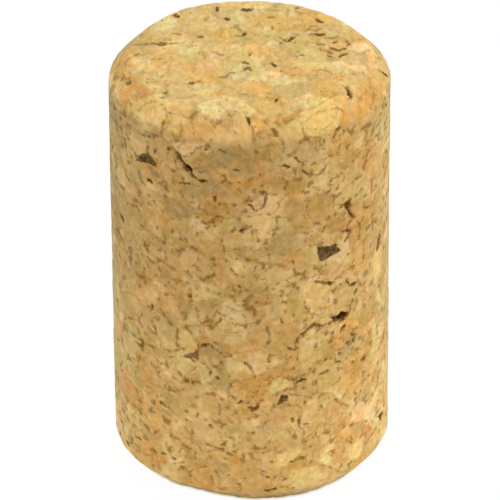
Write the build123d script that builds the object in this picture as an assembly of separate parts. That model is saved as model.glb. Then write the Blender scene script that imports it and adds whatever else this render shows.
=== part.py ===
"""Agglomerated cork stopper.

One solid: a cylinder of pressed cork granules, ground to diameter, with the same chamfer
ground on both ends so that either end can enter a bottle neck first. Cork is soft, so
every edge of the chamfers is eased by an arc.

Millimetres, +Z up along the stopper's axis, origin at the centre of the lower end face.
"""

import os

from build123d import *

# Driving dimensions
BODY_DIAMETER = 24.0
BODY_LENGTH = 38.0
CHAMFER_WIDTH = 1.75  # radial, taken off each end face
CHAMFER_HEIGHT = 1.75  # axial, taken off each end of the wall
END_EDGE_RADIUS = 0.6  # eases the edge between end face and chamfer
WALL_EDGE_RADIUS = 0.8  # eases the edge between chamfer and wall

PARTS_FOLDER = "parts"
NODE = "cork_stopper"


def half_section():
    """The stopper's half section in the XZ plane, from the axis out to the wall."""
    wall_x = BODY_DIAMETER / 2
    end_x = wall_x - CHAMFER_WIDTH
    low_wall_z = CHAMFER_HEIGHT
    high_wall_z = BODY_LENGTH - CHAMFER_HEIGHT
    end_edges = [(end_x, 0), (end_x, BODY_LENGTH)]
    wall_edges = [(wall_x, low_wall_z), (wall_x, high_wall_z)]
    outline = Polyline(
        (0, 0),
        end_edges[0],
        wall_edges[0],
        wall_edges[1],
        end_edges[1],
        (0, BODY_LENGTH),
        close=True,
    )
    section = Plane.XZ * make_face(outline)
    section = eased(section, end_edges, END_EDGE_RADIUS)
    return eased(section, wall_edges, WALL_EDGE_RADIUS)


def eased(section, edges, radius):
    """The section with its corners nearest to the given (x, z) places rounded."""
    corners = [section.vertices().sort_by_distance((x, 0, z))[0] for x, z in edges]
    return fillet(corners, radius)


def cork_stopper():
    """The whole stopper, turned about its axis."""
    return revolve(half_section(), Axis.Z)


def main():
    stopper = cork_stopper()
    stopper.label = NODE
    os.makedirs(PARTS_FOLDER, exist_ok=True)
    export_step(stopper, os.path.join(PARTS_FOLDER, f"{NODE}.step"))


main()
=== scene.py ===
"""Looks of the cork stopper: pressed cork granules on one dense mesh, the light and the camera."""

import itertools
import math
from dataclasses import dataclass

import bmesh
import bpy
import numpy as np
from mathutils import Matrix, Vector, kdtree


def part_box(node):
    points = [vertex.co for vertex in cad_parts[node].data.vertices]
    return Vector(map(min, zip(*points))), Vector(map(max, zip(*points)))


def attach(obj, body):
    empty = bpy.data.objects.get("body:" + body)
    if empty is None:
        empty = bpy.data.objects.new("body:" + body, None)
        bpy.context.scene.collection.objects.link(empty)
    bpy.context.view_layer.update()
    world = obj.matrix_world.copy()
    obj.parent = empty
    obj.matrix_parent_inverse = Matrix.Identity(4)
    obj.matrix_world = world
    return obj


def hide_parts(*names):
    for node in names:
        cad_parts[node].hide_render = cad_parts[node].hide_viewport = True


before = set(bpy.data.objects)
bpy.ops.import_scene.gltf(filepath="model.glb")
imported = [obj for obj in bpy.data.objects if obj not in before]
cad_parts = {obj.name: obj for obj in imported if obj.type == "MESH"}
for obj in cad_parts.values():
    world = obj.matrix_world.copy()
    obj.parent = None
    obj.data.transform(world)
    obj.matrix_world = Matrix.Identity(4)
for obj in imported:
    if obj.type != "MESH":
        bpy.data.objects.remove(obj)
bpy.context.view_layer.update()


@dataclass(frozen=True)
class Kind:
    """How a mark looks: half its width, its depth, how dark and red it is, and if it is bark or sharp."""

    half_width: float
    depth: float
    tone: float
    warmth: float = 0.0
    bark: bool = False
    sharp: bool = True


@dataclass(frozen=True)
class Mark:
    """A crevice along a line, or a chip or void within corners, on the surface."""

    points: np.ndarray
    closed: bool
    kind: Kind
    half_width: float = 0.0


@dataclass(frozen=True)
class Granules:
    """Cork granules: places, stretched axes, colours, how proud they stand, and how many were seen."""

    centres: np.ndarray
    radii: np.ndarray
    axes: np.ndarray
    colours: np.ndarray
    rises: np.ndarray
    seen: int


@dataclass(frozen=True)
class Level:
    """Grains of one size: how many to a millimetre, the share that is split again, and their seam."""

    scale: float
    split_share: float
    seam_half_width: float
    seam_tone: float
    seam_gate: tuple


@dataclass(frozen=True)
class Strokes:
    """Short dark lines: how many to a millimetre, half width, reach, darkness, and the share without one."""

    scale: float
    half_width: float
    reach: float
    tone: float
    bare_share: float


@dataclass(frozen=True)
class Mottle:
    """Soft changes of colour: how many to a millimetre, and the shares of lightness, red and blue."""

    scale: float
    light_share: float
    red_share: float
    blue_share: float


@dataclass(frozen=True)
class Swell:
    """An end's edge that stands out: which end, towards which turn, over how wide a turn, and how far."""

    upper: bool
    turn: float
    width: float
    height: float


@dataclass(frozen=True)
class Lamp:
    """A round soft lamp: its place and width in metres, and its power in watts."""

    place: tuple
    width: float
    power: float


NODE = "cork_stopper"
PIECE = "cork_body"
BODY = "root"
SEED = 41
UNSEEN_SEED = SEED + 1
WARP_SEED_STEP = 10
WAVE_SEED = SEED + 50
WOBBLE_SEED = SEED + 60
WIDTH_SEED = SEED + 70

# Sizes of the solid, in millimetres; the chamfer and its eased edges repeat the part's source
MM = 0.001
node_low, node_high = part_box(NODE)
RADIUS = (node_high.x - node_low.x) / 2 / MM
LENGTH = (node_high.z - node_low.z) / MM
CHAMFER = 1.75
END_EDGE_RADIUS = 0.6
WALL_EDGE_RADIUS = 0.8
EDGE_TURN = math.pi / 4
END_EDGE_REACH = END_EDGE_RADIUS * math.tan(EDGE_TURN / 2)
WALL_EDGE_REACH = WALL_EDGE_RADIUS * math.tan(EDGE_TURN / 2)
FLAT_RADIUS = RADIUS - CHAMFER - END_EDGE_REACH

# The photograph's view, in pixels of its 500 by 500 frame and in millimetres
PHOTO_SIDE = 500
VIEW_ELEVATION = math.radians(30.55)
VIEW_ROLL = math.radians(-0.41)
VIEW_DISTANCE = 480.0
VIEW_TARGET_HEIGHT = 19.02
VIEW_CENTRE_X = 250.55
FOCAL_PIXELS = 5558.0
SENSOR_WIDTH = 36.0
PIXELS_PER_MM = FOCAL_PIXELS / VIEW_DISTANCE
VIEW_BACK = Vector((0, -math.cos(VIEW_ELEVATION), math.sin(VIEW_ELEVATION)))
VIEW_TURN = VIEW_BACK.to_track_quat("Z", "Y").to_matrix() @ Matrix.Rotation(VIEW_ROLL, 3, "Z")
VIEW_PLACE = Vector((0, 0, VIEW_TARGET_HEIGHT)) + VIEW_BACK * VIEW_DISTANCE
RAY_STEP = 0.02
CLIP_REACH = 100

# The mesh, in millimetres
GRID_STEP = 0.28
GRID_FOLD = 8  # the columns of the side are a multiple of this, so that the ends meet them
SQUARE_SIDES = 4
CORNER_TURN = math.pi / 4  # from the middle of a square's side to its corner
MERGE_GAP = GRID_STEP / 100
EDGE_ARC_STEPS = 8
MARK_REACH = 0.3  # a mark changes the surface this far around it
CUT_REACH = 0.15  # faces this near to a mark are cut in four
SHARP_REACH = 0.08  # and once more this near to a sharp one
UNROLLED_MAP = "OFBake"
UNROLLED_MARGIN_SHARE = 0.005
UNROLLED_END_SHARES = (0.25, 0.75)

# The sRGB curve
SRGB_TOP = 255
SRGB_KNEE = 0.04045
SRGB_FOOT_SLOPE = 12.92
SRGB_OFFSET = 0.055
SRGB_POWER = 2.4
WHITE = (1.0, 1.0, 1.0, 1.0)

# Granule tints, as sRGB values from 0 to 255, and how common each is
TINTS = {
    "straw": (219, 180, 110),
    "tan": (209, 167, 99),
    "amber": (214, 164, 90),
    "rose": (216, 168, 102),
    "olive": (199, 162, 98),
    "pale": (227, 192, 119),
    "cream": (232, 200, 125),
    "dun": (194, 156, 92),
    "rust": (203, 153, 86),
    "umber": (176, 135, 77),
}
TINT_SHARES = {
    "straw": 0.36,
    "tan": 0.42,
    "amber": 0.16,
    "olive": 0.06,
}

# Random granules, from large to small, in millimetres
GRANULE_RADII = [1.3, 1.0, 0.8, 0.6]
GRANULE_TRIES = [900, 1600, 3000, 6000]
GRANULE_PACKING_SHARE = 0.78
GRANULE_STRETCHES = (1.0, 1.8)
GRANULE_REACH_SHARE = 2.8
GRANULE_SPARE_REACH = 0.9

# How tints vary, and how much of the fine lines shows, by place
LIGHTNESS_SPREAD_SHARE = 0.06
TONE_SHARES = (0.67, 0.85, 1.48)  # how far red, green and blue follow a change of lightness
FINE_TONE_SHARES = (0.50, 0.80, 2.00)  # and how far they do in the finest detail
# Painted light: the flat ends paler and the chamfers warmer and lighter than the wall, as light falls on
# them
END_PAINTED_LIGHT_SHARES = (1.0, 1.1, 1.19)
CHAMFER_PAINTED_LIGHT_SHARES = (1.05, 1.03, 1.0)
# Painted shade: the colour darker towards the foot, where the cork meets the table, up to this height
FOOT_PAINTED_SHADE_SHARE = 0.6
FOOT_SHADE_HEIGHT = 0.7
END_LINE_SHARE = 0.5
CHAMFER_LINE_SHARE = 0.75
SEEN_LINE_SHARE = 0.4
BORDER_BLEND = 0.08
BORDER_MIX_SHARE = 0.5  # both granules' share of the colour at their border

# Relief, in millimetres
GRANULE_RISE = 0.05
RISE_SHARES = (-1, 0)
BORDER_DEPTH = 0.05
BORDER_WIDTH = 0.16
WAVE_DEPTH = 0.04
WAVE_CELL = 6.0
WARP_CELLS = [3.2, 1.1]
WARP_DEPTHS = [0.7, 0.35]
LATTICE = 40

# Where the ends' edges depart from a true circle
EDGE_SWELLS = [
    Swell(False, math.radians(-45), math.radians(30), 0.2),
    Swell(False, math.radians(-113), math.radians(20), -0.4),
    Swell(True, math.radians(118), math.radians(18), 0.22),
]
SWELL_REACH = 2.2
SWELL_POWER = 4

# Kinds of marks, in millimetres
KINDS = {
    "chip": Kind(0.0, 0.06, 1.0, bark=True),
    "smudge": Kind(0.0, 0.04, 0.72),
    "void": Kind(0.0, 0.8, 1.0),
    "pit": Kind(0.0, 0.25, 0.9),
    "deep": Kind(0.125, 0.16, 0.9),
    "dark": Kind(0.11, 0.1, 0.75),
    "fine": Kind(0.095, 0.06, 0.55, sharp=False),
    "faint": Kind(0.09, 0.03, 0.4, sharp=False),
    "maroon": Kind(0.125, 0.16, 0.9, warmth=1.0),
    "red": Kind(0.12, 0.05, 0.36, warmth=1.0, sharp=False),
}
VOID_WALL = 0.25
WALL_START_SHARE = 0.5
WALL_RUN_SHARE = 1.5
DOT_WIDTH_SHARE = 1.5
LEAST_FACING_SHARE = 0.3
TAPER_SHARE = 0.5
WIDTH_CELL = 0.4
WIDTH_SPREAD_SHARE = 0.65
WOBBLE_CELL = 0.35
WOBBLE_DEPTH = 0.09

# Granules that stand out in the photograph, by tint: both ends of the long axis and the width, in pixels
SEEN_GRANULES = {
    "pale": [
        ((302, 128), (344, 108), 34), ((140, 112), (167, 112), 26), ((194, 380), (218, 366), 16),
        ((184, 339), (195, 339), 11), ((244, 224), (276, 222), 10), ((288, 482), (322, 471), 18),
        ((374, 318), (377, 346), 10), ((376, 250), (380, 275), 10), ((377, 284), (380, 308), 10),
        ((271, 391), (280, 383), 11),
    ],
    "cream": [
        ((348, 458), (364, 440), 13), ((319, 464), (335, 455), 11), ((281, 461), (298, 454), 10),
    ],
    "straw": [
        ((134, 70), (150, 52), 16), ((220, 100), (246, 100), 13), ((312, 170), (336, 160), 8),
        ((147, 290), (164, 296), 13), ((171, 312), (181, 320), 10), ((299, 366), (318, 362), 11),
        ((264, 318), (288, 318), 12), ((200, 330), (230, 340), 14), ((308, 290), (330, 290), 14),
        ((307, 414), (316, 398), 10), ((262, 436), (288, 432), 16), ((172, 107), (194, 110), 16),
        ((238, 60), (266, 62), 14), ((130, 216), (140, 246), 14), ((150, 222), (166, 240), 14),
        ((260, 463), (278, 459), 12),
    ],
    "rose": [
        ((156, 68), (172, 67), 11), ((155, 353), (165, 353), 10), ((163, 264), (180, 268), 12),
        ((320, 272), (344, 268), 15), ((178, 394), (196, 394), 13), ((272, 446), (300, 444), 11),
        ((322, 412), (346, 408), 14), ((264, 418), (294, 415), 16), ((256, 168), (280, 168), 16),
        ((362, 60), (378, 78), 14),
    ],
    "amber": [
        ((140, 37), (168, 36), 9), ((236, 350), (268, 340), 20), ((140, 362), (154, 390), 18),
        ((230, 470), (254, 468), 12), ((354, 112), (370, 108), 14), ((372, 165), (376, 190), 10),
    ],
    "rust": [
        ((132, 94), (152, 90), 14), ((252, 114), (262, 114), 12), ((343, 168), (357, 154), 12),
        ((351, 234), (355, 250), 9), ((360, 434), (371, 428), 7),
    ],
    "dun": [
        ((222, 158), (256, 160), 16), ((285, 200), (300, 215), 18), ((166, 205), (192, 206), 14),
        ((221, 462), (227, 474), 8), ((201, 350), (216, 352), 9), ((204, 162), (220, 166), 14),
        ((234, 172), (254, 172), 14), ((205, 186), (228, 190), 16),
    ],
    "olive": [
        ((272, 248), (304, 238), 20), ((186, 196), (200, 188), 12),
    ],
    "umber": [
        ((146, 171), (165, 178), 8),
    ],
}

# Bark chips, smudges, voids and pits in the photograph, by their corners in pixels
SEEN_CHIPS = {
    "chip": [
        [(317, 248), (336, 244), (341, 250), (326, 260), (320, 262)],
        [(136, 161), (139, 156), (147, 153), (153, 159), (157, 165), (155, 167), (149, 164), (143, 163)],
        [(282, 395), (288, 395), (288, 400), (281, 404), (276, 406), (280, 400)],
    ],
    "smudge": [
        [(181, 357), (187, 355), (193, 353), (198, 350), (198, 355), (197, 360), (193, 358), (187, 358)],
        [(270, 128), (275, 127), (278, 131), (279, 136), (274, 137), (273, 132)],
    ],
    "void": [
        [(331, 318), (338, 316), (342, 312), (349, 313), (347, 318), (342, 321), (334, 322)],
        [(183, 167), (187, 165), (191, 168), (192, 172), (188, 174), (184, 171)],
        [(344, 87), (347, 86), (350, 90), (354, 99), (352, 100), (348, 94)],
    ],
    "pit": [
        [(172, 14), (177, 13), (181, 16), (179, 18), (176, 17)], [(216, 6), (219, 7), (219, 11), (216, 11)],
        [(242, 32), (246, 31), (247, 35), (243, 36)],
        [(246, 117), (250, 117), (251, 122), (249, 126), (247, 122)],
        [(274, 98), (278, 98), (278, 101), (274, 102)],
        [(269, 62), (273, 62), (278, 65), (275, 67), (272, 65)],
        [(248, 52), (251, 52), (251, 55), (249, 56)], [(223, 17), (228, 17), (230, 20), (226, 20)],
        [(352, 283), (357, 281), (355, 286), (350, 287)],
        [(265, 490), (271, 490), (277, 488), (277, 491), (268, 493)],
        [(326, 283), (335, 281), (332, 286), (328, 286)], [(213, 197), (217, 196), (215, 202)],
        [(344, 206), (349, 201), (351, 203), (349, 208), (355, 216), (353, 218), (347, 211)],
        [(385, 411), (382, 421), (379, 417), (382, 413)],
    ],
}

# Crevices and dots in the photograph, by the points of their lines in pixels
SEEN_CREVICES = {
    "deep": [
        [(342, 231), (351, 231), (348, 238), (345, 242)], [(287, 41), (291, 38), (295, 36)],
        [(316, 33), (321, 34), (325, 32)], [(239, 232), (244, 230)], [(174, 151), (179, 157), (185, 167)],
        [(189, 171), (196, 179), (201, 182), (207, 181)], [(351, 200), (347, 204), (347, 209)],
        [(347, 281), (350, 286), (356, 283)], [(340, 56), (347, 52)], [(298, 383), (305, 380)],
        [(265, 491), (277, 490)], [(281, 167), (290, 167)], [(316, 18), (322, 22)],
        [(241, 9), (246, 10), (252, 9)], [(146, 179), (151, 183)], [(380, 70), (389, 76)],
        [(201, 345), (209, 345), (214, 348)], [(346, 325), (341, 332)],
        [(347, 208), (350, 212), (354, 217)],
    ],
    "dark": [
        [(330, 323), (323, 326), (315, 325), (311, 327), (305, 332), (298, 338), (295, 345)],
        [(332, 42), (337, 41)], [(327, 55), (332, 56)], [(243, 71), (247, 67), (251, 70)],
        [(242, 61), (248, 63)], [(197, 37), (203, 36)], [(134, 54), (138, 53)], [(192, 82)],
        [(260, 192), (267, 194), (266, 201), (262, 208), (255, 212)], [(345, 40), (349, 43), (347, 46)],
        [(330, 47), (338, 50), (346, 48)], [(276, 36), (281, 38), (286, 41)], [(156, 43), (167, 43)],
        [(272, 24), (273, 29)], [(295, 7), (300, 8)], [(341, 125), (337, 132), (334, 138)],
        [(303, 170), (308, 175)], [(295, 159), (302, 163)], [(232, 172), (239, 170)],
        [(364, 207), (370, 207)], [(380, 234), (378, 250)],
        [(314, 282), (321, 282), (330, 285), (335, 282)], [(357, 289), (355, 294)],
        [(293, 350), (284, 344)], [(323, 362), (328, 359)], [(338, 354), (341, 353)],
        [(336, 363), (341, 361)], [(320, 375), (329, 371)], [(217, 323), (222, 319)],
        [(160, 402), (166, 407)], [(259, 473), (263, 476)], [(266, 477), (270, 479)],
        [(291, 462), (296, 460), (304, 457)], [(263, 454), (270, 450)], [(303, 425), (309, 424)],
        [(190, 379), (187, 382)], [(191, 380), (194, 385)], [(221, 446), (228, 442)],
        [(153, 154), (156, 149)], [(219, 149), (225, 153)], [(120, 216), (123, 221)],
        [(126, 441), (132, 444)], [(134, 435), (141, 440)], [(161, 453), (166, 455)],
        [(171, 459), (176, 459)], [(281, 319), (283, 324)], [(249, 205), (255, 210)],
        [(354, 392), (358, 394)], [(361, 360), (365, 358)], [(244, 363), (248, 364)],
        [(179, 183), (192, 185)], [(351, 333), (355, 337), (353, 341)], [(198, 344), (198, 351)],
        [(152, 306)], [(239, 288)], [(190, 297)], [(211, 373)], [(217, 378)], [(210, 426)], [(293, 420)],
        [(299, 421)], [(128, 83)], [(165, 92)], [(346, 204), (341, 208)],
        [(180, 356), (187, 356), (193, 353), (198, 351)], [(197, 352), (197, 361)],
        [(189, 357), (195, 363)], [(134, 341), (139, 345), (143, 347)], [(141, 340), (143, 346)],
        [(313, 437)], [(206, 150)], [(168, 150)],
    ],
    "fine": [
        [(134, 44), (156, 43)], [(218, 77), (223, 77), (227, 75)], [(228, 74), (231, 72), (234, 72)],
        [(295, 36), (299, 34), (304, 30)], [(318, 49), (326, 50), (333, 54)], [(309, 33), (315, 34)],
        [(338, 36), (345, 38), (349, 43)], [(167, 43), (180, 43)], [(173, 33), (181, 34)],
        [(151, 59), (161, 58)], [(235, 35), (243, 36)], [(266, 17), (273, 17)], [(310, 25), (314, 25)],
        [(305, 31), (311, 26)], [(317, 44), (325, 44)], [(300, 54), (305, 55)], [(370, 107), (372, 110)],
        [(384, 104), (383, 109)], [(301, 123), (303, 131), (305, 135)], [(283, 143), (284, 150)],
        [(142, 134), (150, 138)], [(124, 143), (127, 156)], [(308, 175), (317, 175), (325, 170)],
        [(323, 196), (332, 189)], [(328, 185), (336, 185)], [(357, 221), (361, 225), (360, 237)],
        [(373, 221), (373, 229)], [(268, 233), (276, 233), (272, 236)],
        [(268, 242), (264, 246), (257, 251)], [(301, 233), (308, 234)], [(265, 271), (272, 268)],
        [(351, 265), (355, 260)], [(143, 240), (148, 253)], [(155, 257), (161, 261)],
        [(202, 221), (205, 224)], [(190, 289), (190, 296)], [(241, 302), (249, 301)],
        [(130, 332), (135, 336)], [(155, 361), (160, 364)], [(122, 361), (120, 366)],
        [(214, 347), (219, 353), (228, 354)], [(203, 363), (210, 370)], [(196, 367), (189, 374)],
        [(230, 383), (231, 389)], [(151, 403), (155, 405)], [(302, 311), (309, 313), (318, 314)],
        [(318, 308), (326, 308)], [(329, 299), (328, 304)], [(333, 291), (333, 294)],
        [(289, 379), (297, 380), (303, 376), (315, 372)], [(259, 375), (258, 379)],
        [(308, 400), (315, 393)], [(332, 394), (336, 400), (341, 404), (350, 406)],
        [(251, 398), (253, 396)], [(141, 450), (144, 455), (151, 455)], [(200, 459), (207, 459)],
        [(181, 467), (187, 471), (191, 478)], [(210, 475), (213, 485)], [(280, 488), (284, 487)],
        [(377, 326), (378, 335)], [(346, 213), (343, 218)], [(198, 81)], [(162, 97)], [(130, 103)],
        [(121, 79)], [(120, 128)], [(157, 228)], [(172, 230)], [(207, 228)], [(333, 333)], [(348, 343)],
        [(269, 361)], [(287, 355)], [(259, 449)], [(222, 450)], [(235, 453)], [(290, 390)], [(340, 390)],
        [(280, 43)], [(272, 462)], [(155, 452)], [(329, 433)], [(353, 301)], [(136, 264)],
    ],
    "faint": [
        [(203, 22), (210, 16)], [(311, 28), (316, 30), (322, 28)], [(322, 37), (330, 38), (337, 36)],
        [(232, 22), (238, 28), (242, 32)], [(235, 24), (239, 26)], [(213, 52), (224, 55)],
        [(186, 46), (191, 46)], [(243, 93), (247, 94)], [(216, 101), (219, 105)],
        [(311, 71), (321, 69), (332, 72)], [(315, 393), (332, 394)], [(304, 426), (304, 451)],
        [(225, 306), (233, 310), (242, 311)], [(317, 107), (301, 110)],
        [(140, 108), (146, 103), (156, 101), (164, 106), (167, 114), (163, 123), (154, 127), (145, 123)],
        [(302, 128), (308, 118), (322, 111), (338, 108), (345, 113), (340, 126)],
        [(330, 135), (316, 138), (305, 135)], [(160, 435)], [(180, 439)], [(123, 411)], [(257, 428)],
        [(292, 75)],
    ],
    "maroon": [
        [(237, 403), (242, 402)], [(248, 407), (253, 410), (257, 407), (258, 404)],
    ],
    "red": [
        [(342, 90), (327, 99), (317, 107)], [(343, 86), (346, 88), (350, 92)], [(215, 216), (230, 219)],
        [(250, 260), (265, 264), (284, 266), (289, 267)], [(166, 265), (176, 271)],
        [(230, 357), (241, 361)], [(144, 386), (151, 388)], [(357, 40), (361, 39)],
        [(374, 122), (373, 136)], [(295, 95), (298, 96)], [(185, 140), (178, 148)],
        [(246, 112), (247, 117)], [(265, 387)], [(228, 391)], [(321, 309)], [(212, 121)], [(218, 121)],
        [(173, 182)], [(162, 76)], [(366, 434)], [(370, 429)],
    ],
}

# Marks on the sides that the photograph doesn't show: how many of each kind, and their sizes
UNSEEN_FACING_SHARE = 0.22
UNSEEN_CREVICES = {"deep": 18, "dark": 50, "fine": 75, "faint": 18, "maroon": 2, "red": 20}
UNSEEN_CHIPS = {"chip": 5, "smudge": 2, "void": 3}
UNSEEN_MOST_RUNS = 4
UNSEEN_RUN_LENGTHS = (0.15, 0.5)
UNSEEN_BEND = 0.7
UNSEEN_CHIP_REACHES = (0.35, 0.9)
UNSEEN_CHIP_CORNERS = 6
UNSEEN_CORNER_SHARES = (0.45, 1.0)

# Fine structure of the cork, with scales in features to a millimetre and widths in millimetres
GRAIN_LIE_SHARE = 0.65  # pressed grains are longer along one way, so that one way is scaled down
WANDER_SCALE = 0.9
WANDER_DETAIL = 4.0
WANDER_REACH = 1.1
MOTTLES = [
    Mottle(0.9, 0.04, 0.025, 0.03),
    Mottle(2.4, 0.0, 0.02, 0.03),
]
MOTTLE_DETAIL = 2.0
MOTTLE_FADE = (0.32, 0.68)
LEVELS = [
    Level(0.48, 0.5, 0.31, 0.75, (0.48, 0.62)),
    Level(1.0, 0.35, 0.27, 0.58, (0.5, 0.64)),
    Level(2.1, 0.0, 0.22, 0.2, (0.54, 0.68)),
]
# Painted highlights beside the granule seams: their width as shares of the seam's half width, and how much
# paler they are
RIM_HIGHLIGHT_WIDTH_SHARES = (2.6, 1.2)
RIM_HIGHLIGHT_SHARE = 0.09
GRAIN_FADE = (-0.1, 0.28)
CHANCE_MIDDLE = 0.5  # of a chance from 0 to 1
GRAIN_MIDDLE = (CHANCE_MIDDLE, CHANCE_MIDDLE, CHANCE_MIDDLE, 1.0)
GRAIN_LIGHT_SHARE = 0.22
GRAIN_RED_SHARE = 0.085
GRAIN_BLUE_SHARE = 0.08
SEAM_GATE_SCALE = 1.7
SEAM_COLOURS = [(122, 80, 2), (150, 88, 6)]
SEAM_HUE_SCALE = 0.5
SEAM_HUE_FADE = (0.4, 0.6)
GROOVE_WIDTH = 0.2
SPECK_SCALE = 2.0
SPECK_DETAIL = 2.0
SPECK_FADE = (0.25, 0.75)
SPECK_LIGHT_SHARE = 0.17
STROKES = Strokes(1.1, 0.2, 0.42, 0.62, 0.87)
STROKE_END_SHARE = 0.4
FLECK_SCALE = 2.3
FLECK_FADE = (0.62, 0.74)
FLECK_LIGHT_SHARE = 0.11
PORE_SCALE = 1.5
PORE_RADII = (0.05, 0.12)
PORE_RARE_SHARES = (0.80, 0.86)
PORE_TONE_SHARE = 0.6
PORE_COLOUR = (104, 66, 10)
RAGGED_SCALE = 5.0
RAGGED_REACH = 0.19
MARK_EDGE = (-0.09, 0.1)
# The dark of crevices, voids and pits: partly their own dark cork, partly painted shade in their hollows
MARK_DARK_AND_SHADE_COLOUR = (98, 60, 0)
MARK_RED_COLOUR = (134, 74, 14)
BARK_EDGE = (-0.1, 0.1)
BARK_SCALE = 2.2
BARK_FADE = (0.35, 0.65)
BARK_COLOURS = [(80, 56, 22), (124, 95, 50)]
BUMP_DEPTH = 0.07
BUMP_STRENGTH = 0.6
SPECK_HEIGHT_SHARE = 0.5
ROUGHNESS_SHARES = (0.8, 1.0)
GLOSS_LEVEL = 0.1
SHEEN_WEIGHT = 0.28
SHEEN_ROUGHNESS = 0.4
SHEEN_COLOUR = (200, 250, 215)

# Sockets of the mix node by number, as several of them share a name
MIX_COLOUR_INPUTS = (0, 6, 7)
MIX_COLOUR_OUTPUT = 2
MIX_NUMBER_INPUTS = (0, 2, 3)
NOISE_DETAIL = 2.0

# Light, in metres and watts
TABLE_HALF = 1.5
TABLE_WHITE = 0.9
TABLE_SHADOW_SHARE = 0.06
TABLE_OWN_WHITE = 0.965
GLOW_INNER_RADII = (0.0115, 0.016)
GLOW_RADII = (0.020, 0.052)
GLOW_STRENGTH = 0.7
# A painted contact shadow on the table, where the cork nearly touches it: its reach in metres and its colour
CONTACT_SHADOW_REACH = 0.0002
CONTACT_SHADOW_COLOUR = (196, 178, 138)
WORLD_STRENGTH = 0.2
LAMP_AIM = Vector((0, 0, 0.02))
LAMPS = {
    "right": Lamp((0.40, -0.10, 0.10), 0.25, 0.73),
    "right_back": Lamp((0.35, 0.13, 0.06), 0.2, 0.2),
    "left_low": Lamp((-0.20, -0.10, 0.02), 0.12, 0.12),
    "front_high": Lamp((0.0, -0.30, 0.35), 0.25, 0.32),
    "top": Lamp((0.0, 0.0, 0.12), 0.08, 0.058),
    "back": Lamp((0.0, 0.40, 0.20), 0.30, 0.35),
}


def main():
    mesh = plain_stopper()
    granules = all_granules(mesh)
    marks = seen_marks() + unseen_marks(mesh)
    refine(mesh, marks, CUT_REACH)
    refine(mesh, [mark for mark in marks if mark.kind.sharp], SHARP_REACH)
    piece = cork_piece(mesh, granules, marks)
    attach(piece, BODY)
    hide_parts(NODE)
    make_room()
    make_table()
    make_lamps()
    make_camera()
    bpy.context.scene.view_settings.view_transform = "Standard"


# Form


def profile():
    """The side's outline as (radius, height), from the edge of the top face to that of the bottom."""
    end_centre = (FLAT_RADIUS, LENGTH - END_EDGE_RADIUS)
    wall_centre = (RADIUS - WALL_EDGE_RADIUS, LENGTH - CHAMFER - WALL_EDGE_REACH)
    upper = arc(end_centre, END_EDGE_RADIUS, math.pi / 2, EDGE_TURN)
    upper += arc(wall_centre, WALL_EDGE_RADIUS, EDGE_TURN, 0)
    lower = [(radius, LENGTH - height) for radius, height in reversed(upper)]
    return even_steps(np.array(upper + lower), GRID_STEP)


def arc(centre, radius, start, end):
    """Points along an arc of the outline."""
    turns = np.linspace(start, end, EDGE_ARC_STEPS)
    return [(centre[0] + radius * math.cos(t), centre[1] + radius * math.sin(t)) for t in turns]


def even_steps(points, step):
    """A line through the same places, in even steps of about the given length."""
    lengths = np.linalg.norm(np.diff(points, axis=0), axis=1)
    along = np.concatenate([[0], np.cumsum(lengths)])
    places = np.linspace(0, along[-1], round(along[-1] / step) + 1)
    return np.stack([np.interp(places, along, column) for column in points.T], 1)


def side_grid(columns):
    """Vertices and faces of the wall with its two chamfers."""
    outline = profile()
    turns = np.arange(columns) * 2 * math.pi / columns
    radii, heights = outline[:, :1], outline[:, 1:]
    rows = [radii * np.cos(turns), radii * np.sin(turns), heights * np.ones(columns)]
    points = np.stack(rows, -1).reshape(-1, 3)
    above = np.arange(len(outline) - 1)[:, None] * columns
    here = np.arange(columns)[None, :]
    after = (here + 1) % columns
    faces = np.stack([above + here, above + columns + here, above + columns + after, above + after], -1)
    return points, faces.reshape(-1, 4)


def end_grid(columns, height, upward):
    """Vertices and faces of a flat end, a square grid drawn out to a circle."""
    side = columns // SQUARE_SIDES + 1
    ticks = np.linspace(-1, 1, side)
    across, along = np.meshgrid(ticks, ticks, indexing="ij")
    wide = np.abs(across) > np.abs(along)
    reach = np.where(wide, across, along)
    safe = np.where(reach == 0, 1, reach)
    turn = np.where(wide, along / safe * CORNER_TURN, math.pi / 2 - across / safe * CORNER_TURN)
    level = np.full_like(reach, height)
    places = [FLAT_RADIUS * reach * np.cos(turn), FLAT_RADIUS * reach * np.sin(turn), level]
    corner = np.arange(side - 1)[:, None] * side + np.arange(side - 1)[None, :]
    ring = [corner, corner + side, corner + side + 1, corner + 1]
    faces = np.stack(ring if upward else ring[::-1], -1)
    return np.stack(places, -1).reshape(-1, 3), faces.reshape(-1, 4)


def plain_stopper():
    """The closed form of the solid as an even grid of quads, in millimetres."""
    columns = GRID_FOLD * round(2 * math.pi * RADIUS / GRID_STEP / GRID_FOLD)
    parts = [side_grid(columns), end_grid(columns, LENGTH, True), end_grid(columns, 0.0, False)]
    mesh = bmesh.new()
    for points, faces in parts:
        corners = [mesh.verts.new(point) for point in points.tolist()]
        for face in faces.tolist():
            mesh.faces.new([corners[index] for index in face])
    bmesh.ops.remove_doubles(mesh, verts=mesh.verts, dist=MERGE_GAP)
    bmesh.ops.recalc_face_normals(mesh, faces=mesh.faces)
    mesh.normal_update()
    return mesh


def places_of(mesh):
    """The places of a mesh's vertices."""
    mesh.verts.ensure_lookup_table()
    mesh.verts.index_update()
    return np.array([vertex.co[:] for vertex in mesh.verts])


def directions_of(mesh):
    """The outward directions of a mesh's vertices."""
    mesh.normal_update()
    return np.array([vertex.normal[:] for vertex in mesh.verts])


def search_tree(points):
    """A tree that finds the points near a place."""
    tree = kdtree.KDTree(len(points))
    for index, point in enumerate(points.tolist()):
        tree.insert(point, index)
    tree.balance()
    return tree


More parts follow.
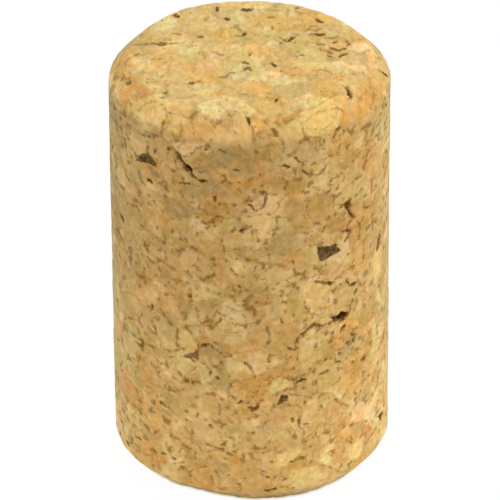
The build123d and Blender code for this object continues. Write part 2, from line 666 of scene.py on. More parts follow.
def near_points(tree, centre, reach):
    """The indices of the points within reach of a place."""
    return np.array([index for _, index, _ in tree.find_range(centre, reach)], int)


def refine(mesh, marks, reach):
    """Cuts the faces beside the marks in four, so that narrow crevices keep their form."""
    inside = mark_fields(places_of(mesh), marks, reach)["mark_depth"]
    mesh.verts.ensure_lookup_table()
    near = np.flatnonzero(inside > -reach)
    faces = {face for index in near.tolist() for face in mesh.verts[index].link_faces}
    edges = {edge for face in faces for edge in face.edges}
    bmesh.ops.subdivide_edges(mesh, edges=list(edges), cuts=1, use_grid_fill=True)


# Places in the photograph


def on_stopper(pixels):
    """The places on the plain stopper that the photograph shows at these pixels."""
    pixels = np.array(pixels, float)
    ahead = np.full(len(pixels), -FOCAL_PIXELS)
    flat = np.stack([pixels[:, 0] - VIEW_CENTRE_X, PHOTO_SIDE / 2 - pixels[:, 1], ahead], 1)
    rays = flat @ np.array(VIEW_TURN).T
    rays /= np.linalg.norm(rays, axis=1)[:, None]
    reach = math.hypot(RADIUS, LENGTH)
    steps = np.arange(VIEW_DISTANCE - reach, VIEW_DISTANCE + reach, RAY_STEP)
    places = []
    for ray in rays:
        line = np.array(VIEW_PLACE) + steps[:, None] * ray
        outside = outside_by(line)
        inside = np.flatnonzero(outside < 0)
        places.append(line[inside[0] if len(inside) else outside.argmin()])
    return np.array(places)


def outside_by(points):
    """How far the points lie outside the plain stopper, less than zero within it."""
    from_end = np.minimum(points[:, 2], LENGTH - points[:, 2])
    room = RADIUS - np.clip(CHAMFER - from_end, 0, CHAMFER)
    return np.maximum(np.hypot(points[:, 0], points[:, 1]) - room, -from_end)


# Granules


def smooth(share):
    """A share from 0 to 1 with both ends eased."""
    return share * share * (3 - 2 * share)


def lattice_noise(points, cell, seed):
    """Smooth noise from -1 to 1 at these points, with features about one cell across."""
    table = np.random.default_rng(seed).uniform(-1, 1, (LATTICE,) * 3)
    scaled = points / cell
    base = np.floor(scaled).astype(int)
    part = smooth(scaled - base)
    total = np.zeros(len(points))
    for corner in itertools.product((0, 1), repeat=3):
        index = (base + corner) % LATTICE
        weight = np.where(corner, part, 1 - part).prod(1)
        total += weight * table[index[:, 0], index[:, 1], index[:, 2]]
    return total


def warped(points):
    """The points moved about smoothly, so that the borders between granules wander."""
    moved = points.copy()
    for scale, (cell, depth) in enumerate(zip(WARP_CELLS, WARP_DEPTHS)):
        for axis in range(3):
            moved[:, axis] += depth * lattice_noise(points, cell, SEED + WARP_SEED_STEP * scale + axis)
    return moved


def linear_colour(values):
    """An sRGB colour from 0 to 255 as linear values from 0 to 1."""
    shares = np.array(values) / SRGB_TOP
    curved = ((shares + SRGB_OFFSET) / (1 + SRGB_OFFSET)) ** SRGB_POWER
    return np.where(shares <= SRGB_KNEE, shares / SRGB_FOOT_SLOPE, curved)


def all_granules(mesh):
    """The granules read from the photograph, with random ones packed between them."""
    rng = np.random.default_rng(SEED)
    centres, radii, axes, tints = seen_granules()
    seen = len(centres)
    places = places_of(mesh)
    for radius, tries in zip(GRANULE_RADII, GRANULE_TRIES):
        for place in places[rng.integers(len(places), size=tries)]:
            gaps = np.linalg.norm(np.array(centres) - place, axis=1)
            if (gaps > GRANULE_PACKING_SHARE * (np.array(radii) + radius)).all():
                centres.append(place)
                radii.append(radius)
                axes.append(random_axes(rng, radius))
                tints.append(rng.choice(list(TINT_SHARES), p=list(TINT_SHARES.values())))
    colours = np.array([linear_colour(TINTS[tint]) for tint in tints])
    lightness = LIGHTNESS_SPREAD_SHARE * rng.standard_normal((len(colours), 1))
    lightness[:seen] = 0
    colours *= 1 + lightness * TONE_SHARES
    rises = GRANULE_RISE * rng.uniform(*RISE_SHARES, len(colours))
    return Granules(np.array(centres), np.array(radii), np.array(axes), colours, rises, seen)


def seen_granules():
    """Centres, radii, axes and tints of the granules that stand out in the photograph."""
    centres, radii, axes, tints = [], [], [], []
    for tint, granules in SEEN_GRANULES.items():
        for start, end, width in granules:
            ends = on_stopper([start, end])
            along = ends[1] - ends[0]
            length = np.linalg.norm(along) / 2
            breadth = width / PIXELS_PER_MM / 2
            centres.append(warped(ends.mean(0)[None])[0])
            radii.append(math.sqrt(length * breadth))
            axes.append(own_axes(along / (2 * length), length, breadth))
            tints.append(tint)
    return centres, radii, axes, tints


def beside(along):
    """Two directions at right angles to the given one and to each other."""
    spare = np.eye(3)[np.abs(along).argmin()]
    across = np.cross(along, spare)
    across /= np.linalg.norm(across)
    return across, np.cross(along, across)


def own_axes(along, length, breadth):
    """Rows that turn an offset from a granule's centre into shares of its length and breadths."""
    across, over = beside(along)
    return np.stack([along / length, across / breadth, over / breadth])


def random_axes(rng, radius):
    """Axes of a granule that lies in any direction and is somewhat longer than wide."""
    along = rng.standard_normal(3)
    along /= np.linalg.norm(along)
    stretch = math.sqrt(rng.uniform(*GRANULE_STRETCHES))
    return own_axes(along, radius * stretch, radius / stretch)


def granule_field(points, granules):
    """For each point: the two nearest granules, and how far off their border is."""
    moved = warped(points)
    tree = search_tree(moved)
    gaps = np.full((len(points), 2), np.inf)
    owners = np.zeros((len(points), 2), int)
    for index, (centre, radius, axes) in enumerate(zip(granules.centres, granules.radii, granules.axes)):
        near = near_points(tree, centre, GRANULE_REACH_SHARE * radius + GRANULE_SPARE_REACH)
        if not len(near):
            continue
        gap = np.linalg.norm((moved[near] - centre) @ axes.T, axis=1)
        first = gap < gaps[near, 0]
        second = ~first & (gap < gaps[near, 1])
        pushed = near[first]
        gaps[pushed, 1], owners[pushed, 1] = gaps[pushed, 0], owners[pushed, 0]
        gaps[pushed, 0], owners[pushed, 0] = gap[first], index
        gaps[near[second], 1], owners[near[second], 1] = gap[second], index
    borders = (gaps[:, 1] - gaps[:, 0]) * granules.radii[owners].mean(1) / 2
    return owners, np.minimum(borders, RADIUS)


# Marks


def seen_marks():
    """The bark chips, voids and crevices read from the photograph."""
    marks = []
    for kind, outlines in SEEN_CHIPS.items():
        marks += [Mark(on_stopper(corners), True, KINDS[kind]) for corners in outlines]
    for kind, lines in SEEN_CREVICES.items():
        for line in lines:
            points = on_stopper(line)
            half_width = KINDS[kind].half_width / breadth_share(points)
            if len(line) == 1:
                half_width *= DOT_WIDTH_SHARE
            marks.append(Mark(points, False, KINDS[kind], half_width))
    return marks


def breadth_share(points):
    """How much of its breadth a line on the plain stopper shows to the camera, as a share."""
    facing = facing_share(points.mean(0))
    along = Vector(points[-1] - points[0])
    if along.length < RAY_STEP:
        return math.sqrt(facing)
    lean = along.normalized() @ VIEW_BACK
    return facing / math.sqrt(1 - lean * lean)


def facing_share(place):
    """How squarely the plain stopper faces the camera at a place, as a share."""
    up = Vector((0, 0, 1))
    outward = Vector((place[0], place[1], 0)).normalized()
    from_top = LENGTH - place[2]
    if from_top < RAY_STEP:
        outward = up
    elif from_top < CHAMFER:
        outward = (outward + up).normalized()
    elif place[2] < CHAMFER:
        outward = (outward - up).normalized()
    return max(outward @ VIEW_BACK, LEAST_FACING_SHARE)


def unseen_marks(mesh):
    """Random chips, voids and crevices on the sides that the photograph doesn't show."""
    rng = np.random.default_rng(UNSEEN_SEED)
    places = places_of(mesh)
    normals = directions_of(mesh)
    tree = search_tree(places)
    unseen = np.flatnonzero(normals @ np.array(VIEW_BACK) < UNSEEN_FACING_SHARE)
    marks = []
    forms = ((UNSEEN_CHIPS, True, random_patch), (UNSEEN_CREVICES, False, random_line))
    for counts, closed, outline in forms:
        for kind, count in counts.items():
            for index in rng.choice(unseen, count):
                points = outline(rng, places[index], *beside(normals[index]))
                points = np.array([tree.find(point)[0][:] for point in points])
                marks.append(Mark(points, closed, KINDS[kind], KINDS[kind].half_width))
    return marks


def random_line(rng, start, across, along):
    """The points of a bent line from a place, on the plane of two directions."""
    heading = rng.uniform(0, 2 * math.pi)
    points = [start]
    for _ in range(rng.integers(1, UNSEEN_MOST_RUNS + 1)):
        heading += UNSEEN_BEND * rng.standard_normal()
        run = rng.uniform(*UNSEEN_RUN_LENGTHS)
        points.append(points[-1] + run * (math.cos(heading) * across + math.sin(heading) * along))
    return points


def random_patch(rng, centre, across, along):
    """The corners of an uneven patch about a place, on the plane of two directions."""
    turns = np.sort(rng.uniform(0, 2 * math.pi, UNSEEN_CHIP_CORNERS))
    reach = rng.uniform(*UNSEEN_CHIP_REACHES)
    shares = rng.uniform(*UNSEEN_CORNER_SHARES, UNSEEN_CHIP_CORNERS)
    return [centre + reach * s * (math.cos(t) * across + math.sin(t) * along) for t, s in zip(turns, shares)]


def line_gap(points, line):
    """The distance from the points to a line of straight runs, or to its one point, and how far along."""
    least = np.linalg.norm(points - line[0], axis=1)
    along = np.zeros(len(points))
    for index, (start, end) in enumerate(zip(line[:-1], line[1:])):
        run = end - start
        share = np.clip((points - start) @ run / max(run @ run, np.finfo(float).tiny), 0, 1)
        gap = np.linalg.norm(points - start - share[:, None] * run, axis=1)
        along = np.where(gap < least, (index + share) / (len(line) - 1), along)
        least = np.minimum(least, gap)
    return least, along


def within(points, corners):
    """Whether the points lie within corners, both seen along the corners' own direction."""
    centre = corners.mean(0)
    flat = np.linalg.svd(corners - centre)[2][:2]
    places = (points - centre) @ flat.T
    outline = (corners - centre) @ flat.T
    inside = np.zeros(len(points), bool)
    for (x0, y0), (x1, y1) in zip(outline, np.roll(outline, -1, 0)):
        crosses = (y0 > places[:, 1]) != (y1 > places[:, 1])
        slope = (x1 - x0) / (y1 - y0) if y1 != y0 else 0.0
        inside ^= crosses & (places[:, 0] < x0 + (places[:, 1] - y0) * slope)
    return inside


def depth_in(points, mark, width_shares):
    """How far the points lie within a mark, less than zero outside it."""
    if mark.closed:
        gap, _ = line_gap(points, np.vstack([mark.points, mark.points[:1]]))
        return np.where(within(points, mark.points), gap, -gap)
    gap, along = line_gap(points, mark.points)
    full = TAPER_SHARE + (1 - TAPER_SHARE) * np.sqrt(np.sin(math.pi * along))
    taper = full if len(mark.points) > 1 else 1.0
    return mark.half_width * taper * width_shares - gap


def wobbled(points):
    """The points moved about a little, so that the edges of marks are uneven."""
    noises = [lattice_noise(points, WOBBLE_CELL, WOBBLE_SEED + axis) for axis in range(3)]
    return points + WOBBLE_DEPTH * np.stack(noises, 1)


def mark_fields(points, marks, reach):
    """What the marks do at each point: how far within one it lies, its tone and warmth, bark and hollow."""
    tree = search_tree(points)
    uneven = wobbled(points)
    width_shares = 1 + WIDTH_SPREAD_SHARE * lattice_noise(points, WIDTH_CELL, WIDTH_SEED)
    count = len(points)
    inside, bark = np.full(count, -reach), np.full(count, -reach)
    tones, warmths, hollow = np.zeros(count), np.zeros(count), np.zeros(count)
    for mark in marks:
        centre = mark.points.mean(0)
        span = np.linalg.norm(mark.points - centre, axis=1).max()
        near = near_points(tree, centre, span + mark.half_width + reach)
        if not len(near):
            continue
        depth = depth_in(uneven[near], mark, width_shares[near])
        better = near[depth > inside[near]]
        tones[better] = mark.kind.tone
        warmths[better] = mark.kind.warmth
        inside[near] = np.maximum(inside[near], depth)
        if mark.kind.bark:
            bark[near] = np.maximum(bark[near], depth)
        wall = VOID_WALL if mark.closed else mark.half_width
        slope = np.clip((depth + WALL_START_SHARE * wall) / (WALL_RUN_SHARE * wall), 0, 1)
        hollow[near] = np.maximum(hollow[near], mark.kind.depth * smooth(slope))
    return {
        "mark_depth": inside,
        "mark_tone": tones,
        "mark_warmth": warmths,
        "bark_depth": bark,
        "hollow": hollow,
    }


# The piece


def cork_piece(mesh, granules, marks):
    """The finished cork: the refined form with its relief, its fields as attributes and its material."""
    points = places_of(mesh)
    normals = directions_of(mesh)
    owners, borders = granule_field(points, granules)
    fields = mark_fields(points, marks, MARK_REACH)
    relief = granule_relief(points, granules, owners, borders) - fields.pop("hollow")
    places = points + normals * relief[:, None] + edge_swell(points)
    colours = granule_colours(points, granules, owners, borders)
    data = bpy.data.meshes.new(PIECE)
    mesh.to_mesh(data)
    mesh.free()
    unroll(data)
    data.vertices.foreach_set("co", (places * MM).ravel())
    # these colours carry the painted light on the ends and chamfers and the painted shade at the foot
    keep_field(data, "granule_colour", "FLOAT_COLOR", "color", np.c_[colours, np.ones(len(colours))])
    line_shares = by_place(points, END_LINE_SHARE, CHAMFER_LINE_SHARE)[:, 0]
    fields["line_share"] = np.where(owners[:, 0] < granules.seen, SEEN_LINE_SHARE, line_shares)
    for name, values in fields.items():
        keep_field(data, name, "FLOAT", "value", values)
    data.polygons.foreach_set("use_smooth", np.ones(len(data.polygons), bool))
    data.materials.append(cork_material())
    data.update()
    piece = bpy.data.objects.new(PIECE, data)
    bpy.context.scene.collection.objects.link(piece)
    return piece


def mixed(values, owners, borders):
    """The values of the nearest granules, mixed with those of the next ones near their borders."""
    blend = BORDER_MIX_SHARE * np.clip(1 - borders / BORDER_BLEND, 0, 1)
    nearest, next_nearest = owners.T
    return (values[nearest].T * (1 - blend) + values[next_nearest].T * blend).T


def granule_relief(points, granules, owners, borders):
    """How far the granules, the grooves between them and soft waves move the surface outwards."""
    groove = BORDER_DEPTH * np.exp(-((borders / BORDER_WIDTH) ** 2))
    wave = WAVE_DEPTH * (lattice_noise(points, WAVE_CELL, WAVE_SEED) - 1) / 2
    return mixed(granules.rises, owners, borders) - groove + wave


def granule_colours(points, granules, owners, borders):
    """The colours of the granules, with painted light that makes the ends paler and the chamfers warmer, and
    painted shade that makes them darker at the foot.
    """
    colours = mixed(granules.colours, owners, borders)
    # painted light: paler ends and warmer, lighter chamfers
    colours = colours * by_place(points, END_PAINTED_LIGHT_SHARES, CHAMFER_PAINTED_LIGHT_SHARES)
    # painted shade: darker towards the foot
    return colours * np.interp(points[:, 2:], (0, FOOT_SHADE_HEIGHT), (FOOT_PAINTED_SHADE_SHARE, 1))


def by_place(points, on_flat, on_chamfer):
    """The values for points on a flat end and on a chamfer, and 1 for those on the wall."""
    from_end = np.minimum(points[:, 2], LENGTH - points[:, 2])[:, None]
    values = np.where(from_end < CHAMFER, on_chamfer, 1.0)
    return np.where(on_end(points)[:, None], on_flat, values)


def edge_swell(points):
    """How the ends' ground edges depart from a true circle, as moves outwards from the axis."""
    turns = np.arctan2(points[:, 1], points[:, 0])
    radii = np.hypot(points[:, 0], points[:, 1])
    out = np.zeros(len(points))
    for swell in EDGE_SWELLS:
        from_end = LENGTH - points[:, 2] if swell.upper else points[:, 2]
        near = np.clip(1 - from_end / SWELL_REACH, 0, 1)
        away = (turns - swell.turn + math.pi) % (2 * math.pi) - math.pi
        out += swell.height * smooth(near) * np.exp(-((away / swell.width) ** 2))
    out *= np.minimum(radii / FLAT_RADIUS, 1) ** SWELL_POWER
    return np.stack([out * np.cos(turns), out * np.sin(turns), np.zeros(len(points))], 1)


def on_end(points):
    """Whether the points lie on a flat end."""
    return np.minimum(points[:, 2], LENGTH - points[:, 2]) < MERGE_GAP


def keep_field(data, name, kind, slot, values):
    """Keeps a field on the mesh's vertices, for the material to read."""
    layer = data.attributes.new(name, kind, "POINT")
    layer.data.foreach_set(slot, np.ascontiguousarray(values, np.float32).ravel())


def unroll(data):
    """Lays the form out flat: the side as one strip, with both ends below it."""
    count = len(data.loops)
    corners = np.empty(count, np.int32)
    data.loops.foreach_get("vertex_index", corners)
    points = np.empty(len(data.vertices) * 3, np.float32)
    data.vertices.foreach_get("co", points)
    points = points.reshape(-1, 3)[corners].astype(float)
    faces = np.repeat(np.arange(len(data.polygons)), [len(polygon.vertices) for polygon in data.polygons])
    counts = np.bincount(faces)
    middles = np.stack([np.bincount(faces, column) / counts for column in points.T], 1)[faces]
    turn = np.arctan2(points[:, 1], points[:, 0])
    middle_turn = np.arctan2(middles[:, 1], middles[:, 0])
    turn = middle_turn + (turn - middle_turn + math.pi) % (2 * math.pi) - math.pi
    radius = np.hypot(points[:, 0], points[:, 1])
    upper = points[:, 2] > LENGTH / 2
    past_edge = np.where(upper, radius - FLAT_RADIUS, 2 * RADIUS - FLAT_RADIUS - radius)
    across = (turn + math.pi) * RADIUS
    down = LENGTH - points[:, 2] + past_edge
    strip = LENGTH + 2 * (RADIUS - FLAT_RADIUS)
    side = 2 * math.pi * RADIUS
    flat = on_end(middles)
    end_x = np.where(upper, *[share * side for share in UNROLLED_END_SHARES]) + points[:, 0]
    end_y = (strip + side) / 2 + points[:, 1]
    places = np.stack([np.where(flat, end_x, across), np.where(flat, end_y, down)], 1)
    margin = UNROLLED_MARGIN_SHARE * side
    layer = data.uv_layers.new(name=UNROLLED_MAP)
    layer.uv.foreach_set("vector", ((places + margin) / (side + 2 * margin)).astype(np.float32).ravel())


# Materials


class Sketch:
    """A node tree, with short calls that add a node and give its output."""

    def __init__(self, tree):
        self.tree = tree

    def add(self, kind, inputs=None, **settings):
        """A new node with these settings, its inputs set or linked."""
        node = self.tree.nodes.new(kind)
        for name, value in settings.items():
            setattr(node, name, value)
        for name, value in (inputs or {}).items():
            self.feed(node.inputs[name], value)
        return node

    def feed(self, socket, value):
        """Links an output to a socket, or sets the socket's own value."""
        if isinstance(value, bpy.types.NodeSocket):
            self.tree.links.new(value, socket)
        else:
            socket.default_value = value

    def sum(self, operation, first, second=0.0):
        """The result of a sum on two numbers."""
        return self.add("ShaderNodeMath", {0: first, 1: second}, operation=operation).outputs[0]

    def vector(self, operation, first, second=(0.0, 0.0, 0.0)):
        """The result of a sum on one or two vectors."""
        node = self.add("ShaderNodeVectorMath", {0: first, 1: second}, operation=operation)
        return node.outputs["Vector"]

    def measure(self, operation, first, second=(0.0, 0.0, 0.0)):
        """A number worked out from one or two vectors."""
        node = self.add("ShaderNodeVectorMath", {0: first, 1: second}, operation=operation)
        return node.outputs["Value"]

    def scaled(self, vector, factor):
        """A vector or colour times a number."""
        node = self.add("ShaderNodeVectorMath", {0: vector, "Scale": factor}, operation="SCALE")
        return node.outputs["Vector"]

    def fade(self, value, start, end, low=0.0, high=1.0):
        """A smooth step from low to high as the value goes from start to end."""
        limits = {"Value": value, "From Min": start, "From Max": end, "To Min": low, "To Max": high}
        node = self.add("ShaderNodeMapRange", limits, interpolation_type="SMOOTHSTEP")
        return node.outputs["Result"]

    def span(self, value, low, high):
        """The value from 0 to 1 spread from low to high."""
        limits = {"Value": value, "To Min": low, "To Max": high}
        return self.add("ShaderNodeMapRange", limits).outputs["Result"]

    def mix(self, share, first, second):
        """Two colours mixed by a share."""
        node = self.add("ShaderNodeMix", data_type="RGBA")
        for index, value in zip(MIX_COLOUR_INPUTS, (share, first, second)):
            self.feed(node.inputs[index], value)
        return node.outputs[MIX_COLOUR_OUTPUT]

    def noise(self, place, scale, detail=NOISE_DETAIL, output="Fac"):
        """Smooth noise from 0 to 1 with this many features to a millimetre."""
        inputs = {"Vector": place, "Scale": scale, "Detail": detail}
        return self.add("ShaderNodeTexNoise", inputs).outputs[output]

    def wandering(self, place, scale, reach):
        """The place moved about smoothly, by up to the reach."""
        noise = self.noise(place, scale, WANDER_DETAIL, "Color")
        return self.vector("ADD", place, self.scaled(noise, reach))

    def cells(self, place, scale):
        """Cells with this many to a millimetre: random colours, middles, and distances to those."""
        return self.add("ShaderNodeTexVoronoi", {"Vector": place, "Scale": scale}).outputs

    def parts(self, colour):
        """The red, green and blue of a colour."""
        return self.add("ShaderNodeSeparateColor", {"Color": colour}).outputs

    def lot(self, place):
        """A random number from 0 to 1 for a place."""
        return self.add("ShaderNodeTexWhiteNoise", {"Vector": place}).outputs["Value"]

    def cell_borders(self, place, scale):
        """How far the border between such cells is, in millimetres."""
        inputs = {"Vector": place, "Scale": scale}
        node = self.add("ShaderNodeTexVoronoi", inputs, feature="DISTANCE_TO_EDGE")
        return self.sum("DIVIDE", node.outputs["Distance"], scale)

    def field(self, name):
        """A number kept on the mesh."""
        return self.add("ShaderNodeAttribute", attribute_name=name).outputs["Fac"]

    def millimetres(self):
        """The place on the piece, in millimetres, scaled down the way that the grains lie."""
        scales = (1 / MM, GRAIN_LIE_SHARE / MM, 1 / MM)
        return self.vector("MULTIPLY", self.add("ShaderNodeTexCoord").outputs["Object"], scales)

    def seen(self):
        """1 for rays from the camera, or from it by way of gloss or glass, and 0 for the others."""
        rays = self.add("ShaderNodeLightPath").outputs
        mirrored = self.sum("MAXIMUM", rays["Is Glossy Ray"], rays["Is Transmission Ray"])
        return self.sum("MAXIMUM", rays["Is Camera Ray"], mirrored)


def paint(values):
    """A linear colour with full opacity, for a colour socket."""
    return (*linear_colour(values), 1.0)


def cork_material():
    """Ground agglomerated cork: its colour, its fine relief and its soft sheen."""
    material = bpy.data.materials.new("cork")
    material.use_nodes = True
    sketch = Sketch(material.node_tree)
    shader = material.node_tree.nodes["Principled BSDF"]
    place = sketch.millimetres()
    moved = sketch.wandering(place, WANDER_SCALE, WANDER_REACH)
    speck = sketch.fade(sketch.noise(place, SPECK_SCALE, SPECK_DETAIL), *SPECK_FADE)
    chance, gap, seam, highlight_rim = grain_levels(sketch, place, moved)
    line = sketch.sum("MAXIMUM", seam, stroke_share(sketch, moved))
    line = sketch.sum("MULTIPLY", line, sketch.field("line_share"))
    colour = grain_colour(sketch, place, chance, speck)
    fleck = sketch.fade(sketch.noise(moved, FLECK_SCALE), *FLECK_FADE)
    colour = lightened(sketch, colour, fleck, FLECK_LIGHT_SHARE)
    # painted highlight beside the seams
    colour = lightened(sketch, colour, highlight_rim, RIM_HIGHLIGHT_SHARE)
    colour = dark_lines(sketch, place, colour, line)
    colour = dark_marks(sketch, place, colour)
    groove = sketch.fade(gap, 0.0, GROOVE_WIDTH)
    height = sketch.sum("ADD", groove, sketch.span(speck, 0.0, SPECK_HEIGHT_SHARE))
    height = sketch.sum("SUBTRACT", height, line)
    bump = {"Height": height, "Distance": BUMP_DEPTH * MM, "Strength": BUMP_STRENGTH}
    sketch.feed(shader.inputs["Normal"], sketch.add("ShaderNodeBump", bump).outputs["Normal"])
    sketch.feed(shader.inputs["Base Color"], colour)
    sketch.feed(shader.inputs["Roughness"], sketch.span(speck, *ROUGHNESS_SHARES))
    shader.inputs["Specular IOR Level"].default_value = GLOSS_LEVEL
    shader.inputs["Sheen Weight"].default_value = SHEEN_WEIGHT
    shader.inputs["Sheen Roughness"].default_value = SHEEN_ROUGHNESS
    shader.inputs["Sheen Tint"].default_value = paint(SHEEN_COLOUR)
    return material


def grain_colour(sketch, place, chance, speck):
    """The tints of the granules, mottled, varied from grain to grain and speckled."""
    colour = sketch.add("ShaderNodeAttribute", attribute_name="granule_colour").outputs["Color"]
    for mottle in MOTTLES:
        colour = mottled(sketch, place, colour, mottle)
    calm = sketch.span(sketch.field("line_share"), CHANCE_MIDDLE, chance["Red"])
    colour = toned(sketch, colour, calm, GRAIN_LIGHT_SHARE, TONE_SHARES)
    colour = varied_hue(sketch, chance, colour, GRAIN_RED_SHARE, GRAIN_BLUE_SHARE)
    return toned(sketch, colour, speck, SPECK_LIGHT_SHARE, FINE_TONE_SHARES)


def dark_lines(sketch, place, colour, line):
    """The colour darkened in seams, strokes and pores."""
    hue = sketch.fade(sketch.noise(place, SEAM_HUE_SCALE), *SEAM_HUE_FADE)
    colour = sketch.mix(line, colour, sketch.mix(hue, *[paint(values) for values in SEAM_COLOURS]))
    return sketch.mix(pore_share(sketch, place), colour, paint(PORE_COLOUR))


def tone(share, parts):
    """The factors of red, green and blue for a change of lightness by a share."""
    return (*[1 + share * part for part in parts], 1.0)


def toned(sketch, colour, value, share, parts):
    """The colour, darker and browner to lighter and paler as the value goes from 0 to 1."""
    return sketch.vector("MULTIPLY", colour, sketch.mix(value, tone(-share, parts), tone(share, parts)))


def lightened(sketch, colour, value, share):
    """The colour, made paler as the value goes from 0 to 1."""
    paler = sketch.mix(value, tone(0.0, FINE_TONE_SHARES), tone(share, FINE_TONE_SHARES))
    return sketch.vector("MULTIPLY", colour, paler)


def varied_hue(sketch, chance, colour, red_share, blue_share):
    """The colour with more or less red and blue, by chance."""
    red = sketch.span(chance["Green"], 1 - red_share, 1 + red_share)
    blue = sketch.span(chance["Blue"], 1 - blue_share, 1 + blue_share)
    hue = sketch.add("ShaderNodeCombineXYZ", {"X": red, "Y": 1.0, "Z": blue}).outputs["Vector"]
    return sketch.vector("MULTIPLY", colour, hue)


def mottled(sketch, place, colour, mottle):
    """The colour varied softly in lightness and hue."""
    waves = sketch.parts(sketch.noise(place, mottle.scale, MOTTLE_DETAIL, "Color"))
    chance = {name: sketch.fade(waves[name], *MOTTLE_FADE) for name in ("Red", "Green", "Blue")}
    colour = toned(sketch, colour, chance["Red"], mottle.light_share, TONE_SHARES)
    return varied_hue(sketch, chance, colour, mottle.red_share, mottle.blue_share)


def grain_levels(sketch, place, moved):
    """Grains, some split into smaller ones: three chances each, their border's gap, its seam, and a painted
    highlight along the seam.
    """
    chance, gap, seam, highlight_rim, whole = None, None, 0.0, 0.0, 0.0
    stretch = sketch.noise(place, SEAM_GATE_SCALE)
    for level in LEVELS:
        cell = sketch.cells(moved, level.scale)
        border = sketch.sum("ADD", sketch.cell_borders(moved, level.scale), whole)
        gate = sketch.fade(stretch, *level.seam_gate)
        line = sketch.fade(border, level.seam_half_width, 0.0, 0.0, level.seam_tone)
        # a painted highlight along the border, beside the seam
        edge = sketch.fade(border, *[share * level.seam_half_width for share in RIM_HIGHLIGHT_WIDTH_SHARES])
        own = sketch.mix(sketch.fade(border, *GRAIN_FADE), GRAIN_MIDDLE, cell["Color"])
        chance = sketch.mix(whole, own, chance) if chance else own
        gap = sketch.sum("MINIMUM", gap, border) if gap else border
        seam = sketch.sum("MAXIMUM", sketch.sum("MULTIPLY", line, gate), seam)
        highlight_rim = sketch.sum("MAXIMUM", sketch.sum("MULTIPLY", edge, gate), highlight_rim)
        unsplit = sketch.sum("GREATER_THAN", sketch.lot(cell["Position"]), level.split_share)
        whole = sketch.sum("MAXIMUM", unsplit, whole)
    return sketch.parts(chance), gap, seam, highlight_rim


def stroke_share(sketch, moved):
    """How much of a short dark stroke shows."""
    cell = sketch.cells(moved, STROKES.scale)
    offset = sketch.vector("SUBTRACT", moved, cell["Position"])
    facing = sketch.vector("NORMALIZE", sketch.vector("SUBTRACT", cell["Color"], GRAIN_MIDDLE[:3]))
    across = sketch.measure("DOT_PRODUCT", offset, facing)
    length = sketch.measure("LENGTH", offset)
    share = sketch.fade(sketch.lot(cell["Position"]), STROKES.bare_share, 1.0)
    ends = sketch.fade(length, STROKES.reach, STROKE_END_SHARE * STROKES.reach)
    share = sketch.sum("MULTIPLY", share, ends)
    line = sketch.fade(sketch.sum("ABSOLUTE", across), STROKES.half_width, 0.0, 0.0, STROKES.tone)
    return sketch.sum("MULTIPLY", line, share)


def pore_share(sketch, place):
    """How much of a small dark pore shows."""
    cell = sketch.cells(place, PORE_SCALE)
    middle = sketch.sum("DIVIDE", cell["Distance"], PORE_SCALE)
    near, far = PORE_RADII
    dot = sketch.fade(middle, far, near, 0.0, PORE_TONE_SHARE)
    return sketch.sum("MULTIPLY", dot, sketch.fade(sketch.parts(cell["Color"])["Blue"], *PORE_RARE_SHARES))


def dark_marks(sketch, place, colour):
    """The colour darkened in crevices and voids, partly their own dark cork and partly painted shade in
    their hollows, and turned to bark in the chips.
    """
    ragged = sketch.span(sketch.noise(place, RAGGED_SCALE), -RAGGED_REACH, RAGGED_REACH)
    depth = sketch.sum("ADD", sketch.field("mark_depth"), ragged)
    share = sketch.sum("MULTIPLY", sketch.fade(depth, *MARK_EDGE), sketch.field("mark_tone"))
    tint = sketch.mix(sketch.field("mark_warmth"), paint(MARK_DARK_AND_SHADE_COLOUR), paint(MARK_RED_COLOUR))
    colour = sketch.mix(share, colour, tint)
    bark = sketch.fade(sketch.sum("ADD", sketch.field("bark_depth"), ragged), *BARK_EDGE)
    bark = sketch.sum("MULTIPLY", bark, sketch.field("mark_tone"))
    shade = sketch.fade(sketch.noise(place, BARK_SCALE), *BARK_FADE)
    return sketch.mix(bark, colour, sketch.mix(shade, *[paint(values) for values in BARK_COLOURS]))


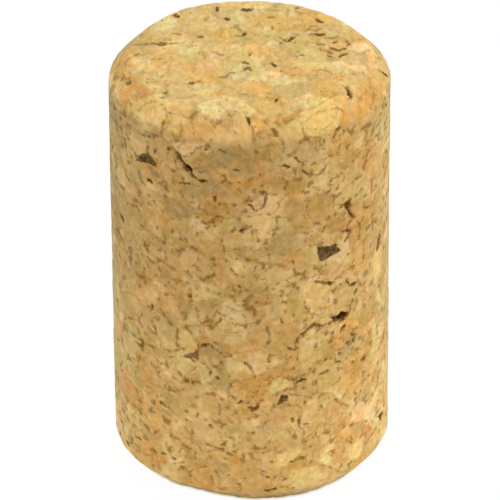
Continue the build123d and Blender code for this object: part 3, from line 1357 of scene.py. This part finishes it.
def table_material():
    """White to the camera apart from a faint shadow and a painted contact shadow where the cork meets it; to
    the cork, a white table lit from below.
    """
    material = bpy.data.materials.new("table")
    material.use_nodes = True
    tree = material.node_tree
    tree.nodes.remove(tree.nodes["Principled BSDF"])
    sketch = Sketch(tree)
    seen = sketch.seen()
    place = sketch.add("ShaderNodeTexCoord").outputs["Object"]
    far = sketch.measure("LENGTH", place)
    glow = sketch.fade(far, *GLOW_RADII, GLOW_STRENGTH, 0.0)
    glow = sketch.sum("MULTIPLY", glow, sketch.fade(far, *GLOW_INNER_RADII))
    # painted contact shadow: the white that the camera sees turns grey-brown where the cork nearly touches
    # the table
    open_share = sketch.add("ShaderNodeAmbientOcclusion", {"Distance": CONTACT_SHADOW_REACH}).outputs["AO"]
    hue = sketch.mix(open_share, paint(CONTACT_SHADOW_COLOUR), WHITE)
    shades = [(value, value, value, 1.0) for value in (TABLE_WHITE, TABLE_SHADOW_SHARE)]
    lit = sketch.add("ShaderNodeBsdfDiffuse", {"Color": sketch.mix(seen, *shades)}).outputs[0]
    strengths = dict(zip(MIX_NUMBER_INPUTS, (seen, glow, TABLE_OWN_WHITE)))
    strength = sketch.add("ShaderNodeMix", strengths).outputs[0]
    shine = sketch.add("ShaderNodeEmission", {"Color": hue, "Strength": strength}).outputs[0]
    both = sketch.add("ShaderNodeAddShader", {0: lit, 1: shine}).outputs[0]
    sketch.feed(tree.nodes["Material Output"].inputs["Surface"], both)
    return material


# Light and view


def make_room():
    """A room that is white to the camera and dimmer to the cork."""
    world = bpy.data.worlds.new("room")
    world.use_nodes = True
    background = world.node_tree.nodes["Background"]
    sketch = Sketch(world.node_tree)
    sketch.feed(background.inputs["Strength"], sketch.span(sketch.seen(), WORLD_STRENGTH, 1.0))
    background.inputs["Color"].default_value = WHITE
    bpy.context.scene.world = world


def make_table():
    """The table that the cork stands on."""
    half = TABLE_HALF
    corners = [(-half, -half, 0), (half, -half, 0), (half, half, 0), (-half, half, 0)]
    data = bpy.data.meshes.new("table")
    data.from_pydata(corners, [], [range(len(corners))])
    data.materials.append(table_material())
    table = bpy.data.objects.new("table", data)
    bpy.context.scene.collection.objects.link(table)


def make_lamps():
    """Soft round lamps about the cork."""
    for name, lamp in LAMPS.items():
        data = bpy.data.lights.new(name, "AREA")
        data.shape = "DISK"
        data.size = lamp.width
        data.energy = lamp.power
        holder = bpy.data.objects.new(name, data)
        holder.location = lamp.place
        holder.rotation_euler = (LAMP_AIM - Vector(lamp.place)).to_track_quat("-Z", "Y").to_euler()
        holder.visible_camera = False
        bpy.context.scene.collection.objects.link(holder)


def make_camera():
    """The photograph's camera: a long lens from the front, looking down on the top."""
    data = bpy.data.cameras.new("camera")
    data.sensor_width = SENSOR_WIDTH
    data.lens = FOCAL_PIXELS / PHOTO_SIDE * SENSOR_WIDTH
    data.shift_x = (PHOTO_SIDE / 2 - VIEW_CENTRE_X) / PHOTO_SIDE
    data.clip_start = VIEW_DISTANCE * MM / CLIP_REACH
    data.clip_end = VIEW_DISTANCE * MM * CLIP_REACH
    camera = bpy.data.objects.new("camera", data)
    bpy.context.scene.collection.objects.link(camera)
    camera.matrix_world = Matrix.Translation(VIEW_PLACE * MM) @ VIEW_TURN.to_4x4()
    bpy.context.scene.camera = camera


main()
